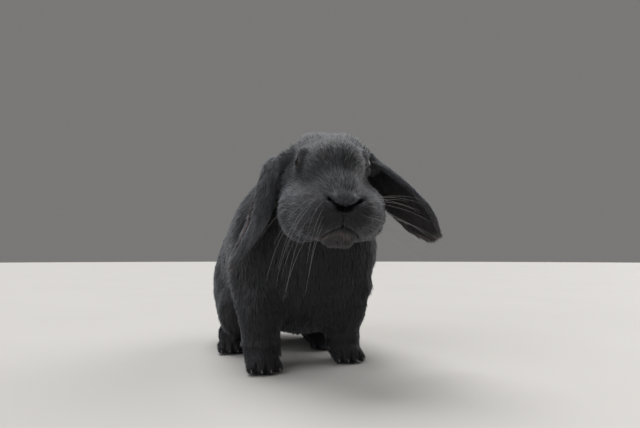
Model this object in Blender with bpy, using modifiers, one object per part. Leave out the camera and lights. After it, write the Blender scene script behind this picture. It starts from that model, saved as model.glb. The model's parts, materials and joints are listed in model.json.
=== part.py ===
"""A still, life-size lop rabbit sitting up on straight forelegs, as separate solids of its body parts.

Blender 4.5, metres, +Z up. The rabbit faces -Y, and its left side is +X. It stands on z = 0.
The flesh is built up from ellipsoids, limbs and a lofted trunk, joined by a voxel remesh, out to
the tips of the coat. It is then parted into its nodes with thin cuts. Eyes, ears, feet and claws
are solids of their own.
"""

import math

import bmesh
import bpy
from mathutils import Euler, Matrix, Vector

# Driving dimensions, in metres
GAP = 0.0003  # between neighbouring solids
FLESH_VOXEL = 0.003
FINE_VOXEL = 0.0022
HEAD_CENTRE = Vector((0.011, -0.158, 0.206))  # mid-head, at the height of the nose bridge
HEAD_PITCH = math.radians(15)  # nose down
HEAD_YAW = math.radians(-9.5)  # turned to the rabbit's right
HEAD_SCALE = 1.06
CHEST_LEAN = 0.009  # how far the chest stands to the rabbit's left
EYE_RADIUS = 0.0092
EYE_PLACE = Vector((0.0305, -0.004, 0.026))  # the left eye, in the head's frame
LID_RADIUS = 0.0021
ORBIT_RADII = (0.012, 0.019, 0.014)  # the hollow round the eye
ORBIT_FORWARD = 0.012  # from the eyeball's centre to the middle of that hollow
EAR_THICKNESS = 0.0068
FOREPAW_X = 0.055
FOREPAW_Y = {-1: -0.108, 1: -0.085}  # the right paw stands ahead of the left
WRIST_HEIGHT = 0.034
ELBOW_HEIGHT = 0.078
HINDFOOT_X = {-1: -0.0735, 1: 0.0520}  # the left foot is drawn in under the belly
HINDFOOT_TOE_Y = {-1: -0.010, 1: -0.020}
HINDFOOT_SPLAY = {-1: -0.006, 1: 0.008}  # how far the heel stands outward of the toes
HINDFOOT_LENGTH = 0.125
TOE_PITCH = 0.0094
FOREPAW_TOES = 0.019  # from the middle of the paw forward to its toe tips
HINDFOOT_TOES = 0.006  # the toe tips set back from the foot's front
CLAW_LENGTH = 0.011
CLAW_RADIUS = 0.0017
CLAW_AHEAD = 0.0040  # a claw's middle ahead of the toe's last joint
CLAW_HEIGHT = 0.0052
CLAW_SLOPE = math.radians(104)  # from straight up, so that it points forward and a little down
DEWCLAW_PLACE = (0.0215, 0.001, 0.0165)  # inward, back and up from the middle of the paw's sole
DEWCLAW_PAD = (0.019, 0.008, 0.019)
SIDE_NAMES = {-1: "right", 1: "left"}

# About how many triangles each piece keeps
HEAD_TRIANGLES = 1900
TRUNK_TRIANGLES = 1450
FOREPAW_TRIANGLES = 330
HINDFOOT_TRIANGLES = 300
EAR_TRIANGLES = 470

# The two planes that the neck is cut off by, across the line from withers to throat
NECK_WAY = Vector((0.0, -0.84, 0.54)).normalized()
NECK_FRONT = Vector((0.0, -0.108, 0.198))
NECK_BACK = Vector((0.0, -0.078, 0.186))

# Sections of the trunk from chest to rump: y, underside, top, half width, height of the widest line
TRUNK_SECTIONS = [
    (-0.1300, 0.100, 0.180, 0.030, 0.140),
    (-0.1220, 0.082, 0.205, 0.056, 0.142),
    (-0.1000, 0.050, 0.236, 0.084, 0.146),
    (-0.0600, 0.029, 0.250, 0.096, 0.142),
    (-0.0100, 0.029, 0.248, 0.095, 0.130),
    (0.0400, 0.034, 0.238, 0.092, 0.112),
    (0.0850, 0.028, 0.215, 0.092, 0.100),
    (0.1250, 0.026, 0.180, 0.084, 0.090),
    (0.1530, 0.034, 0.145, 0.064, 0.085),
    (0.1700, 0.052, 0.115, 0.034, 0.082),
]

HEAD_FRAME = (
    Matrix.Translation(HEAD_CENTRE)
    @ Matrix.Rotation(HEAD_YAW, 4, "Z")
    @ Matrix.Rotation(HEAD_PITCH, 4, "X")
    @ Matrix.Scale(HEAD_SCALE, 4)
)


def smooth_step(t):
    t = max(0.0, min(1.0, t))
    return t * t * (3 - 2 * t)


def along(path, t):
    """A point on a Catmull-Rom curve through the points of path, t from 0 to 1."""
    span = t * (len(path) - 1)
    i = min(int(span), len(path) - 2)
    f = span - i
    p = [Vector(path[max(0, min(len(path) - 1, i + k))]) for k in (-1, 0, 1, 2)]
    return 0.5 * (
        2 * p[1]
        + (p[2] - p[0]) * f
        + (2 * p[0] - 5 * p[1] + 4 * p[2] - p[3]) * f**2
        + (3 * p[1] - p[0] - 3 * p[2] + p[3]) * f**3
    )


# Building masses


def ellipsoid(masses, centre, radii, tilt=(0, 0, 0), frame=None, rings=20):
    """Adds an ellipsoid to a bmesh of masses. tilt is in degrees."""
    turn = Euler([math.radians(a) for a in tilt]).to_matrix().to_4x4()
    place = Matrix.Translation(centre) @ turn @ Matrix.Diagonal((*radii, 1))
    if frame is not None:
        place = frame @ place
    bmesh.ops.create_uvsphere(masses, u_segments=rings + 8, v_segments=rings, radius=1, matrix=place)


def pair(masses, centre, radii, tilt=(0, 0, 0), frame=None):
    """The same ellipsoid on both sides of the midline. The values given are the left one's."""
    for side in (-1, 1):
        place = (side * centre[0], centre[1], centre[2])
        turn = (tilt[0], side * tilt[1], side * tilt[2])
        ellipsoid(masses, place, radii, turn, frame)


def limb(masses, path, radii, resolution=5):
    """Adds a round limb through the points of path, with a ball at each end."""
    curve = bpy.data.curves.new("limb", "CURVE")
    curve.dimensions = "3D"
    curve.bevel_depth = 1.0
    curve.bevel_resolution = resolution
    curve.resolution_u = 8
    curve.use_fill_caps = True
    line = curve.splines.new("BEZIER")
    line.bezier_points.add(len(path) - 1)
    for point, place, radius in zip(line.bezier_points, path, radii):
        point.co = Vector(place)
        point.radius = radius
        point.handle_left_type = point.handle_right_type = "AUTO"
    guide = bpy.data.objects.new("limb", curve)
    bpy.context.scene.collection.objects.link(guide)
    shape = bpy.data.meshes.new_from_object(guide.evaluated_get(bpy.context.evaluated_depsgraph_get()))
    masses.from_mesh(shape)
    bpy.data.objects.remove(guide)
    bpy.data.meshes.remove(shape)
    for place, radius in ((path[0], radii[0]), (path[-1], radii[-1])):
        ellipsoid(masses, place, (radius,) * 3, rings=12)


def object_of(name, masses):
    """Turns a bmesh into a linked object, and frees it."""
    mesh = bpy.data.meshes.new(name)
    bmesh.ops.remove_doubles(masses, verts=masses.verts, dist=1e-6)
    masses.to_mesh(mesh)
    masses.free()
    made = bpy.data.objects.new(name, mesh)
    RABBIT.objects.link(made)
    return made


def duplicate(obj, name):
    made = bpy.data.objects.new(name, obj.data.copy())
    RABBIT.objects.link(made)
    return made


# Joining and cutting


def apply_modifiers(obj):
    """Replaces the object's mesh with the one that its modifiers make."""
    graph = bpy.context.evaluated_depsgraph_get()
    made = bpy.data.meshes.new_from_object(obj.evaluated_get(graph))
    old = obj.data
    obj.modifiers.clear()
    obj.data = made
    bpy.data.meshes.remove(old)


def fuse(obj, voxel, rounds):
    """Joins overlapping masses into one surface, and rounds its creases."""
    remesh = obj.modifiers.new("fuse", "REMESH")
    remesh.mode = "VOXEL"
    remesh.voxel_size = voxel
    smooth = obj.modifiers.new("round", "SMOOTH")
    smooth.factor = 0.5
    smooth.iterations = rounds
    apply_modifiers(obj)


def thin_out(obj, triangles):
    """Reduces the mesh to about this many triangles, keeping the fewest where it is flat."""
    obj.data.calc_loop_triangles()
    decimate = obj.modifiers.new("thin_out", "DECIMATE")
    decimate.ratio = min(1.0, triangles / len(obj.data.loop_triangles))
    decimate.use_collapse_triangulate = True
    apply_modifiers(obj)


def trim(obj, point, normal):
    """Cuts away what lies beyond a plane, on the side that normal points to, and closes the cut."""
    mesh = bmesh.new()
    mesh.from_mesh(obj.data)
    everything = [*mesh.verts, *mesh.edges, *mesh.faces]
    bmesh.ops.bisect_plane(mesh, geom=everything, plane_co=point, plane_no=normal, clear_outer=True)
    rim = [edge for edge in mesh.edges if edge.is_boundary]
    bmesh.ops.holes_fill(mesh, edges=rim, sides=0)
    bmesh.ops.triangulate(mesh, faces=[face for face in mesh.faces if len(face.verts) > 3])
    mesh.to_mesh(obj.data)
    mesh.free()


def boolean(obj, other, operation):
    cut = obj.modifiers.new("cut", "BOOLEAN")
    cut.operation = operation
    cut.object = other
    apply_modifiers(obj)


def clear_of(obj, other):
    """Cuts a pocket in obj that leaves the gap round other, and keeps the largest piece left."""
    grown = duplicate(other, "grown")
    displace = grown.modifiers.new("grow", "DISPLACE")
    displace.strength = 1.5 * GAP
    displace.mid_level = 0
    apply_modifiers(grown)
    boolean(obj, grown, "DIFFERENCE")
    bpy.data.objects.remove(grown)
    keep_largest(obj)


def keep_largest(obj):
    """Removes crumbs that a cut left beside the piece."""
    mesh = bmesh.new()
    mesh.from_mesh(obj.data)
    left = set(mesh.verts)
    islands = []
    while left:
        island = [left.pop()]
        for vert in island:
            for edge in vert.link_edges:
                other = edge.other_vert(vert)
                if other in left:
                    left.remove(other)
                    island.append(other)
        islands.append(island)
    islands.sort(key=len)
    bmesh.ops.delete(mesh, geom=[vert for island in islands[:-1] for vert in island], context="VERTS")
    mesh.to_mesh(obj.data)
    mesh.free()


def part_off(obj, name, shape):
    """Takes the part of obj inside a cutter off it, as a new object. shape(grow) makes the cutter."""
    cutter = shape(0.0)
    piece = duplicate(obj, name)
    boolean(piece, cutter, "INTERSECT")
    bpy.data.objects.remove(cutter)
    keep_largest(piece)
    cutter = shape(GAP)
    boolean(obj, cutter, "DIFFERENCE")
    bpy.data.objects.remove(cutter)
    keep_largest(obj)
    return piece


def block(low, high):
    """A cutter maker: a box from low to high."""

    def shape(grow):
        middle = (Vector(low) + Vector(high)) / 2
        size = Vector(high) - Vector(low) + Vector((2 * grow,) * 3)
        place = Matrix.Translation(middle) @ Matrix.Diagonal((*size, 1))
        masses = bmesh.new()
        bmesh.ops.create_cube(masses, size=1, matrix=place)
        return object_of("cutter", masses)

    return shape


def dome(centre, radii, tilt):
    """A cutter maker: an ellipsoid."""

    def shape(grow):
        masses = bmesh.new()
        ellipsoid(masses, centre, [r + grow for r in radii], tilt, rings=9)
        return object_of("cutter", masses)

    return shape


# The body


def add_trunk(masses):
    """Lofts the trunk through its sections, each an egg shape, widest at the height given."""
    steps = 5 * (len(TRUNK_SECTIONS) - 1)
    around = 40
    rings = []
    for k in range(steps + 1):
        y, under, top = along([s[:3] for s in TRUNK_SECTIONS], k / steps)
        half, widest, _ = along([(*s[3:], 0) for s in TRUNK_SECTIONS], k / steps)
        lean = CHEST_LEAN * smooth_step(0.5 - y / 0.2)
        ring = []
        for i in range(around):
            angle = 2 * math.pi * i / around
            up = math.sin(angle)
            reach = top - widest if up > 0 else widest - under
            ring.append(masses.verts.new((lean + half * math.cos(angle), y, widest + reach * up)))
        rings.append(ring)
    for first, second in zip(rings, rings[1:]):
        for i in range(around):
            j = (i + 1) % around
            masses.faces.new((first[i], second[i], second[j], first[j]))
    masses.faces.new(rings[0])
    masses.faces.new(rings[-1][::-1])


def add_shoulders_and_haunches(masses):
    for side in (-1, 1):
        ellipsoid(masses, (CHEST_LEAN + side * 0.060, -0.064, 0.142), (0.038, 0.044, 0.066), (10, 0, 0))
    ellipsoid(masses, (0.062, -0.080, 0.100), (0.034, 0.034, 0.038))  # the left upper arm
    pair(masses, (0.060, 0.070, 0.090), (0.036, 0.074, 0.078))  # thighs
    pair(masses, (0.070, 0.014, 0.058), (0.025, 0.034, 0.040))  # knees


def add_neck(masses):
    nape = [(0.004, -0.030, 0.180), (0.007, -0.085, 0.203), (0.012, -0.130, 0.212)]
    limb(masses, nape, [0.070, 0.062, 0.052])
    ellipsoid(masses, (0.006, -0.098, 0.150), (0.064, 0.040, 0.052))  # dewlap


FORELEG_RADII = [0.038, 0.031, 0.0255, 0.021]


def foreleg_path(side):
    y = FOREPAW_Y[side]
    return [
        (side * 0.054, -0.070, 0.110),
        (side * 0.055, 0.6 * y - 0.03, 0.070),
        (side * FOREPAW_X, y + 0.012, 0.040),
        (side * FOREPAW_X, y + 0.006, 0.018),
    ]


# The head, in its own frame: nose towards -Y, crown towards +Z


def add_skull(masses):
    frame = HEAD_FRAME
    ellipsoid(masses, (0, 0.018, 0.012), (0.042, 0.048, 0.045), frame=frame)  # cranium
    pair(masses, (0.015, 0.025, 0.035), (0.028, 0.033, 0.0255), frame=frame)  # crown
    ellipsoid(masses, (0, -0.010, 0.023), (0.0335, 0.040, 0.0325), frame=frame)  # forehead
    ellipsoid(masses, (0, -0.031, 0.002), (0.025, 0.043, 0.030), (18, 0, 0), frame)  # bridge
    pair(masses, (0.0275, -0.002, -0.024), (0.0295, 0.048, 0.034), (0, 0, 8), frame)  # jowls
    ellipsoid(masses, (0, -0.032, -0.021), (0.043, 0.045, 0.030), frame=frame)  # muzzle
    pair(masses, (0.024, -0.036, -0.020), (0.024, 0.034, 0.027), frame=frame)  # its sides


def add_features(masses):
    frame = HEAD_FRAME
    pair(masses, (0.0165, -0.054, -0.017), (0.021, 0.021, 0.0195), frame=frame)  # whisker pads
    ellipsoid(masses, (0, -0.063, -0.004), (0.015, 0.012, 0.012), frame=frame)  # nose
    ellipsoid(masses, (0, -0.046, -0.0385), (0.021, 0.020, 0.0155), frame=frame)  # chin
    pair(masses, (0.0285, -0.002, 0.0385), (0.0095, 0.015, 0.0055), frame=frame)  # brows
    for side in (-1, 1):
        add_lids(masses, side)


def eye_frame(side):
    """The eyeball's frame: its local X looks out between the lids and its local Z is up the face."""
    place = Matrix.Translation((side * EYE_PLACE.x, EYE_PLACE.y, EYE_PLACE.z))
    look = Vector((side * 0.95, -0.28, 0.10)).to_track_quat("X", "Z").to_matrix().to_4x4()
    return HEAD_FRAME @ place @ look @ Matrix.Scale(1 / HEAD_SCALE, 4)


def add_lids(masses, side):
    """A ring of skin lying on the eyeball, longer along the face than it is high."""
    path = []
    for k in range(24):
        angle = 2 * math.pi * k / 24
        spread = math.radians(60 + 8 * math.cos(2 * angle))
        reach = EYE_RADIUS * math.sin(spread)
        ahead = EYE_RADIUS * math.cos(spread)
        way = Vector((ahead, reach * math.cos(angle), reach * math.sin(angle)))
        path.append(eye_frame(side) @ way)
    for place in path:
        ellipsoid(masses, place, (LID_RADIUS,) * 3, rings=8)


def make_orbit(side):
    """The hollow that the eye sits in, as a cutter."""
    masses = bmesh.new()
    ellipsoid(masses, (ORBIT_FORWARD, 0, 0), ORBIT_RADII, frame=eye_frame(side))
    return object_of("orbit", masses)


def make_flesh():
    masses = bmesh.new()
    add_trunk(masses)
    add_shoulders_and_haunches(masses)
    add_neck(masses)
    for side in (-1, 1):
        limb(masses, foreleg_path(side), FORELEG_RADII)
    add_skull(masses)
    flesh = object_of("flesh", masses)
    fuse(flesh, FLESH_VOXEL, 22)
    for side in (-1, 1):
        orbit = make_orbit(side)
        boolean(flesh, orbit, "DIFFERENCE")
        bpy.data.objects.remove(orbit)
    masses = bmesh.new()
    masses.from_mesh(flesh.data)
    add_features(masses)
    bpy.data.objects.remove(flesh)
    flesh = object_of("flesh", masses)
    fuse(flesh, FINE_VOXEL, 4)
    return flesh


# Ears


def make_ear(name, path, opening, width, wrap, fold, blunt, rows=40, columns=17):
    """A lop ear: a trough lofted along path. opening is the way its hollow faces at the root and
    at the tip, width its breadth round the curl, and wrap the angle of the curl in degrees at
    root, middle and tip. fold draws the curl narrower and deeper, and blunt rounds the tip."""
    masses = bmesh.new()
    grid = []
    for row in range(rows):
        t = row / (rows - 1)
        centre = along(path, t)
        ahead = (along(path, min(1, t + 0.01)) - along(path, max(0, t - 0.01))).normalized()
        faces = Vector(opening[0]).lerp(Vector(opening[1]), smooth_step(1.5 * t))
        faces = (faces - ahead * faces.dot(ahead)).normalized()
        across = ahead.cross(faces)
        swell = 0.52 + 0.48 * math.sin(math.pi * min(1, t * 0.78 + 0.12))
        breadth = width * swell * min(1, blunt * (1.03 - t)) ** 0.5
        bend = math.radians(along([(w, 0, 0) for w in wrap], t).x)
        radius = breadth / bend
        line = []
        for column in range(columns):
            angle = (column / (columns - 1) - 0.5) * bend
            sideways = across * radius * math.sin(angle) / fold
            deep = faces * radius * (1 - math.cos(angle)) * fold
            line.append(masses.verts.new(centre + sideways + deep))
        grid.append(line)
    for first, second in zip(grid, grid[1:]):
        for a, b, c, d in zip(first, first[1:], second[1:], second):
            masses.faces.new((a, b, c, d))
    made = object_of(name, masses)
    shell = made.modifiers.new("thickness", "SOLIDIFY")
    shell.thickness = EAR_THICKNESS
    shell.offset = 0
    apply_modifiers(made)
    fuse(made, 0.0016, 6)
    thin_out(made, EAR_TRIANGLES)
    return made


def make_ears():
    """The right ear hangs beside the cheek. The left one stands out to the side and droops."""
    right_path = [
        (-0.012, -0.122, 0.238),
        (-0.029, -0.121, 0.2355),
        (-0.0445, -0.120, 0.204),
        (-0.0575, -0.124, 0.166),
        (-0.0935, -0.121, 0.117),
    ]
    right_opening = [(-0.4, 0.8, -0.4), (-1.0, -0.05, -0.3)]
    left_path = [
        (0.032, -0.128, 0.252),
        (0.060, -0.137, 0.2485),
        (0.091, -0.150, 0.2185),
        (0.116, -0.164, 0.1865),
        (0.134, -0.176, 0.151),
    ]
    left_opening = [(0.2, -0.10, -1.0), (-0.45, -0.55, -0.75)]
    return (
        make_ear("ear_right", right_path, right_opening, 0.054, (170, 160, 170), 1.45, 3.2),
        make_ear("ear_left", left_path, left_opening, 0.067, (190, 165, 140), 1.0, 5.0),
    )


# Feet


def toes(x, y):
    """Four toes side by side, the outer ones set back: the base, knuckle and tip of each."""
    made = []
    for k in (-1.5, -0.5, 0.5, 1.5):
        back = 0.0016 * k**2
        base = (x + k * TOE_PITCH * 0.75, y + 0.020, 0.0140)
        knuckle = (x + k * TOE_PITCH, y + back + 0.009, 0.0115)
        tip = (x + k * TOE_PITCH * 1.12, y + back, 0.0072)
        made.append((base, knuckle, tip))
    return made


def add_toes(masses, x, y):
    for path in toes(x, y):
        limb(masses, path, [0.0070, 0.0074, 0.0062])


def make_claw(name, place):
    """A blunt cone, its middle at place, pointing forward and down."""
    masses = bmesh.new()
    where = Matrix.Translation(place) @ Matrix.Rotation(CLAW_SLOPE, 4, "X")
    bmesh.ops.create_cone(
        masses,
        cap_ends=True,
        segments=7,
        radius1=CLAW_RADIUS,
        radius2=CLAW_RADIUS * 0.35,
        depth=CLAW_LENGTH,
        matrix=where,
    )
    bmesh.ops.triangulate(masses, faces=masses.faces)
    return object_of(name, masses)


def make_claws(name, x, y):
    """One claw in the tip of each toe."""
    made = []
    for number, (_, _, tip) in enumerate(toes(x, y), 1):
        place = (tip[0], tip[1] - CLAW_AHEAD, CLAW_HEIGHT)
        made.append(make_claw(f"claw_{name}_{number}", place))
    return made


def make_forepaw(side):
    x, y = side * FOREPAW_X, FOREPAW_Y[side]
    masses = bmesh.new()
    limb(masses, foreleg_path(side)[1:], FORELEG_RADII[1:])
    ellipsoid(masses, (x, y, 0.012), (0.0205, 0.023, 0.0145))
    inward, back, up = DEWCLAW_PAD
    ellipsoid(masses, (x - side * inward, y + back, up), (0.006, 0.009, 0.008))
    add_toes(masses, x, y - FOREPAW_TOES)
    paw = object_of("forepaw_" + SIDE_NAMES[side], masses)
    fuse(paw, 0.0016, 4)
    thin_out(paw, FOREPAW_TRIANGLES)
    trim(paw, (0, 0, WRIST_HEIGHT), (0, 0, 1))
    trim(paw, (0, 0, 0), (0, 0, -1))
    return paw


def make_hindfoot(side):
    x, toe_y = HINDFOOT_X[side], HINDFOOT_TOE_Y[side]
    heel_y = toe_y + HINDFOOT_LENGTH
    splay = side * HINDFOOT_SPLAY[side]
    masses = bmesh.new()
    path = [
        (x + splay, heel_y - 0.016, 0.0155),
        (x + splay / 3, toe_y + 0.055, 0.0160),
        (x, toe_y + 0.022, 0.0130),
    ]
    limb(masses, path, [0.0165, 0.0180, 0.0170])
    add_toes(masses, x, toe_y + HINDFOOT_TOES)
    foot = object_of("hindfoot_" + SIDE_NAMES[side], masses)
    fuse(foot, 0.0016, 4)
    thin_out(foot, HINDFOOT_TRIANGLES)
    trim(foot, (0, 0, 0), (0, 0, -1))
    return foot


def make_eye(side):
    masses = bmesh.new()
    frame = eye_frame(side)
    bmesh.ops.create_uvsphere(masses, u_segments=12, v_segments=8, radius=EYE_RADIUS, matrix=frame)
    bmesh.ops.triangulate(masses, faces=masses.faces)
    return object_of("eye_" + SIDE_NAMES[side], masses)


def make_tail():
    """Short and upturned, lying on the rump."""
    masses = bmesh.new()
    path = [(0, 0.150, 0.078), (0, 0.172, 0.082), (0, 0.176, 0.112)]
    limb(masses, path, [0.019, 0.021, 0.015], resolution=3)
    tail = object_of("tail", masses)
    fuse(tail, 0.003, 4)
    thin_out(tail, 200)
    return tail


def part_trunk(trunk):
    """Cuts the thighs and forelegs off the trunk."""
    pieces = []
    for side in (-1, 1):
        low = (min(side * 0.012, side * 0.120), -0.140, 0.0)
        high = (max(side * 0.012, side * 0.120), -0.030, ELBOW_HEIGHT)
        pieces.append(part_off(trunk, "foreleg_" + SIDE_NAMES[side], block(low, high)))
        cutter = dome((side * 0.090, 0.070, 0.080), (0.036, 0.088, 0.092), (0, 0, 0))
        pieces.append(part_off(trunk, "thigh_" + SIDE_NAMES[side], cutter))
    return pieces


def material_named(name, colour, roughness):
    made = bpy.data.materials.new(name)
    made.use_nodes = True
    shader = made.node_tree.nodes["Principled BSDF"]
    shader.inputs["Base Color"].default_value = (*colour, 1)
    shader.inputs["Roughness"].default_value = roughness
    return made


for leftover in list(bpy.data.objects):
    bpy.data.objects.remove(leftover)
RABBIT = bpy.data.collections.new("lop_rabbit")
bpy.context.scene.collection.children.link(RABBIT)

whole = make_flesh()
head = duplicate(whole, "head")
trunk = duplicate(whole, "trunk")
bpy.data.objects.remove(whole)
trim(head, NECK_FRONT - 0.006 * NECK_WAY, -NECK_WAY)
thin_out(head, HEAD_TRIANGLES)
trim(head, NECK_FRONT + GAP * NECK_WAY, -NECK_WAY)
trim(trunk, NECK_FRONT, NECK_WAY)
thin_out(trunk, TRUNK_TRIANGLES)
neck = duplicate(trunk, "neck")
trim(neck, NECK_BACK, -NECK_WAY)
trim(trunk, NECK_BACK - GAP * NECK_WAY, NECK_WAY)
trim(trunk, (0, 0, 0.014), (0, 0, -1))

forepaws = [make_forepaw(side) for side in (-1, 1)]
hindfeet = [make_hindfoot(side) for side in (-1, 1)]
limbs = part_trunk(trunk)
for leg in limbs:
    if leg.name.startswith("foreleg"):
        trim(leg, (0, 0, WRIST_HEIGHT + GAP), (0, 0, -1))
for foot in hindfeet:
    for flesh_piece in (trunk, *limbs):
        clear_of(flesh_piece, foot)
tail = make_tail()
clear_of(tail, trunk)
for side in (-1, 1):
    clear_of(head, make_eye(side))
for ear in make_ears():
    clear_of(ear, head)
    clear_of(ear, neck)
    clear_of(ear, trunk)
for side, paw, foot in zip((-1, 1), forepaws, hindfeet):
    x, y = side * FOREPAW_X, FOREPAW_Y[side]
    inward, back, up = DEWCLAW_PLACE
    dewclaw = make_claw(f"claw_fore_{SIDE_NAMES[side]}_5", (x - side * inward, y + back, up))
    for claw in (dewclaw, *make_claws("fore_" + SIDE_NAMES[side], x, y - FOREPAW_TOES)):
        clear_of(paw, claw)
    toe_y = HINDFOOT_TOE_Y[side] + HINDFOOT_TOES
    for claw in make_claws("hind_" + SIDE_NAMES[side], HINDFOOT_X[side], toe_y):
        clear_of(foot, claw)

fur = material_named("fur", (0.035, 0.037, 0.042), 0.9)
eye_black = material_named("eye", (0.010, 0.008, 0.007), 0.08)
horn = material_named("claw", (0.16, 0.13, 0.11), 0.45)

# The model stands with the middle of its outline over the origin
corners = [piece.matrix_world @ Vector(c) for piece in RABBIT.objects for c in piece.bound_box]
middle_x = (min(c.x for c in corners) + max(c.x for c in corners)) / 2
middle_y = (min(c.y for c in corners) + max(c.y for c in corners)) / 2
for piece in RABBIT.objects:
    piece.data.transform(Matrix.Translation((-middle_x, -middle_y, 0)))
    piece.data.materials.clear()
    if piece.name.startswith("eye"):
        piece.data.materials.append(eye_black)
    elif piece.name.startswith("claw"):
        piece.data.materials.append(horn)
    else:
        piece.data.materials.append(fur)
    piece.data.shade_smooth()
    piece.data.set_sharp_from_angle(angle=math.radians(50))
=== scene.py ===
"""The looks of a life-size lop rabbit sitting up: one skin over the flesh, a coat of mesh tufts, eyes,
claws, whiskers, and a plain studio. Metres, +Z up, the rabbit facing -Y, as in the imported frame."""

import json
import math

import bmesh
import bpy
import numpy as np
from mathutils import Matrix, Vector
from mathutils.bvhtree import BVHTree

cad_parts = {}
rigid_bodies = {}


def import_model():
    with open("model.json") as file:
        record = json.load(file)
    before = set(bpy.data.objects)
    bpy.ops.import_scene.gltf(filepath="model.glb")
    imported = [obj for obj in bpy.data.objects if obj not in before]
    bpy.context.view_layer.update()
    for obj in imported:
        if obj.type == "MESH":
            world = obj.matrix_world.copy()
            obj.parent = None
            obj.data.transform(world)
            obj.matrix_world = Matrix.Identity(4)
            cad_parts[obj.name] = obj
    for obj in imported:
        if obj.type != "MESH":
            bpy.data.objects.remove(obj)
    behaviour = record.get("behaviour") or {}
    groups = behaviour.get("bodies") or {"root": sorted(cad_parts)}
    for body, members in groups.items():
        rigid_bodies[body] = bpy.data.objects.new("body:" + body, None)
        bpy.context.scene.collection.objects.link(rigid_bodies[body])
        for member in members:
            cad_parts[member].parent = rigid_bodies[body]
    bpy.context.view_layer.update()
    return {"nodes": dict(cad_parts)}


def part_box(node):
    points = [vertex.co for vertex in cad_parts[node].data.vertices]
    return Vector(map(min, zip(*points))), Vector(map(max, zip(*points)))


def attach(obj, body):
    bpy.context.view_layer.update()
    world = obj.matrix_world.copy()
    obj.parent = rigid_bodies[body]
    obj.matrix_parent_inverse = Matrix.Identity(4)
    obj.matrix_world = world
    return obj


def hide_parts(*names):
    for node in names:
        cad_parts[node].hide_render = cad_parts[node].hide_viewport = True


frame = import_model()

SIDES = {"left": 1, "right": -1}

# The head's frame: nose towards -Y, crown towards +Z. It is placed by the eyes.
HEAD_YAW = math.radians(-9.5)
HEAD_PITCH = math.radians(15)
HEAD_SCALE = 1.06
EYE_PLACE = Vector((0.0305, -0.004, 0.026))
EYE_LOOK = Vector((0.95, -0.28, 0.10)).normalized()
LID_LOOK = Vector((0.95, -0.24, 0.19)).normalized()
LID_RADIUS = 0.0019
LID_OPENING = 50  # degrees from the way that the lids face
EYE_BARE = 0.0098  # no tuft grows this near to the middle of an eye
NOSE_PLACE = np.array((0.0, -0.068, -0.008))

BODY_VOXEL = 0.00184
EAR_VOXEL = 0.0012
SKIN_VOXEL = 0.0016
BODY_SWELL = 0.0004  # closes the cuts between the body's nodes

# Each region's coat, in metres, with its lift from the skin in degrees
MEASURES = ("depth", "length", "width", "spacing", "lift")
COATS = {
    "head": (0.0030, 0.0072, 0.00080, 0.00090, 20),
    "neck": (0.0058, 0.0145, 0.00115, 0.00132, 22),
    "trunk": (0.0052, 0.0140, 0.00118, 0.00134, 18),
    "tail": (0.0080, 0.0180, 0.00120, 0.00136, 40),
    "ear_left": (0.0015, 0.0070, 0.00075, 0.00088, 15),
    "ear_right": (0.0015, 0.0075, 0.00080, 0.00090, 15),
    "foreleg": (0.0033, 0.0092, 0.00098, 0.00110, 18),
    "forepaw": (0.0016, 0.0052, 0.00078, 0.00082, 23),
    "thigh": (0.0050, 0.0136, 0.00118, 0.00134, 18),
    "hindfoot": (0.0018, 0.0056, 0.00080, 0.00086, 23),
}
REGIONS = list(COATS)

# The way the hair lies, in the row frame. An ear's runs from its root to its tip.
WAYS = {
    "tail": (0.0, 0.35, 1.0),
    "ear_left": (0.62, -0.32, -0.72),
    "ear_right": (-0.42, -0.02, -0.90),
    "foreleg": (0.0, -0.10, -1.0),
    "forepaw": (0.0, -1.0, -0.45),
    "hindfoot": (0.0, -1.0, -0.15),
}
FLESH = ["head", "neck", "trunk", "tail"] + [
    f"{part}_{side}" for part in ("foreleg", "forepaw", "thigh", "hindfoot") for side in SIDES
]
EARS = ["ear_left", "ear_right"]

COAT_TRIANGLES = 1_380_000
PIECE_TRIANGLES = 195_000
LONG_HAIR = 0.0068  # longer tufts bend
FEWEST_TUFTS = 300  # a region's short tufts are a piece of their own only from this many
UV_PATCH = 0.003  # a tuft's size in the coat's UV map
FLOOR_CLEAR = 0.0015  # tufts that would pass through the floor bend to lie within this of it

random = np.random.default_rng(20)


def smooth_step(x):
    x = np.clip(x, 0.0, 1.0)
    return x * x * (3 - 2 * x)


def above(x, start, over):
    """Rises from 0 where x is start to 1 where x is more by over."""
    return smooth_step((x - start) / over)


def below(x, start, over):
    """Rises from 0 where x is start to 1 where x is less by over."""
    return smooth_step((start - x) / over)


def bell(x, width):
    """1 at 0, and falling away to both sides."""
    return np.exp(-((x / width) ** 2))


def unit(v):
    return v / np.maximum(np.linalg.norm(v, axis=-1, keepdims=True), 1e-12)


def dot(a, b):
    return np.sum(a * b, axis=-1, keepdims=True)


def middle(node):
    low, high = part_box(node)
    return (low + high) / 2


def make_head_frame():
    turn = Matrix.Rotation(HEAD_YAW, 4, "Z") @ Matrix.Rotation(HEAD_PITCH, 4, "X")
    turn = turn @ Matrix.Scale(HEAD_SCALE, 4)
    between = (middle("eye_left") + middle("eye_right")) / 2
    return Matrix.Translation(between - turn @ Vector((0, EYE_PLACE.y, EYE_PLACE.z))) @ turn


HEAD_FRAME = make_head_frame()
HEAD_TURN = np.array(HEAD_FRAME.to_3x3()) / HEAD_SCALE
HEAD_AXES = HEAD_FRAME.to_3x3().normalized()


def in_head(points):
    """Points of the row frame, in the head's frame."""
    origin = np.array(HEAD_FRAME.translation)
    return (points - origin) @ HEAD_TURN / HEAD_SCALE


def eyeball(side):
    """The eye's centre and radius."""
    low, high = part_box("eye_" + side)
    return (low + high) / 2, (high.x - low.x) / 2


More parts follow.
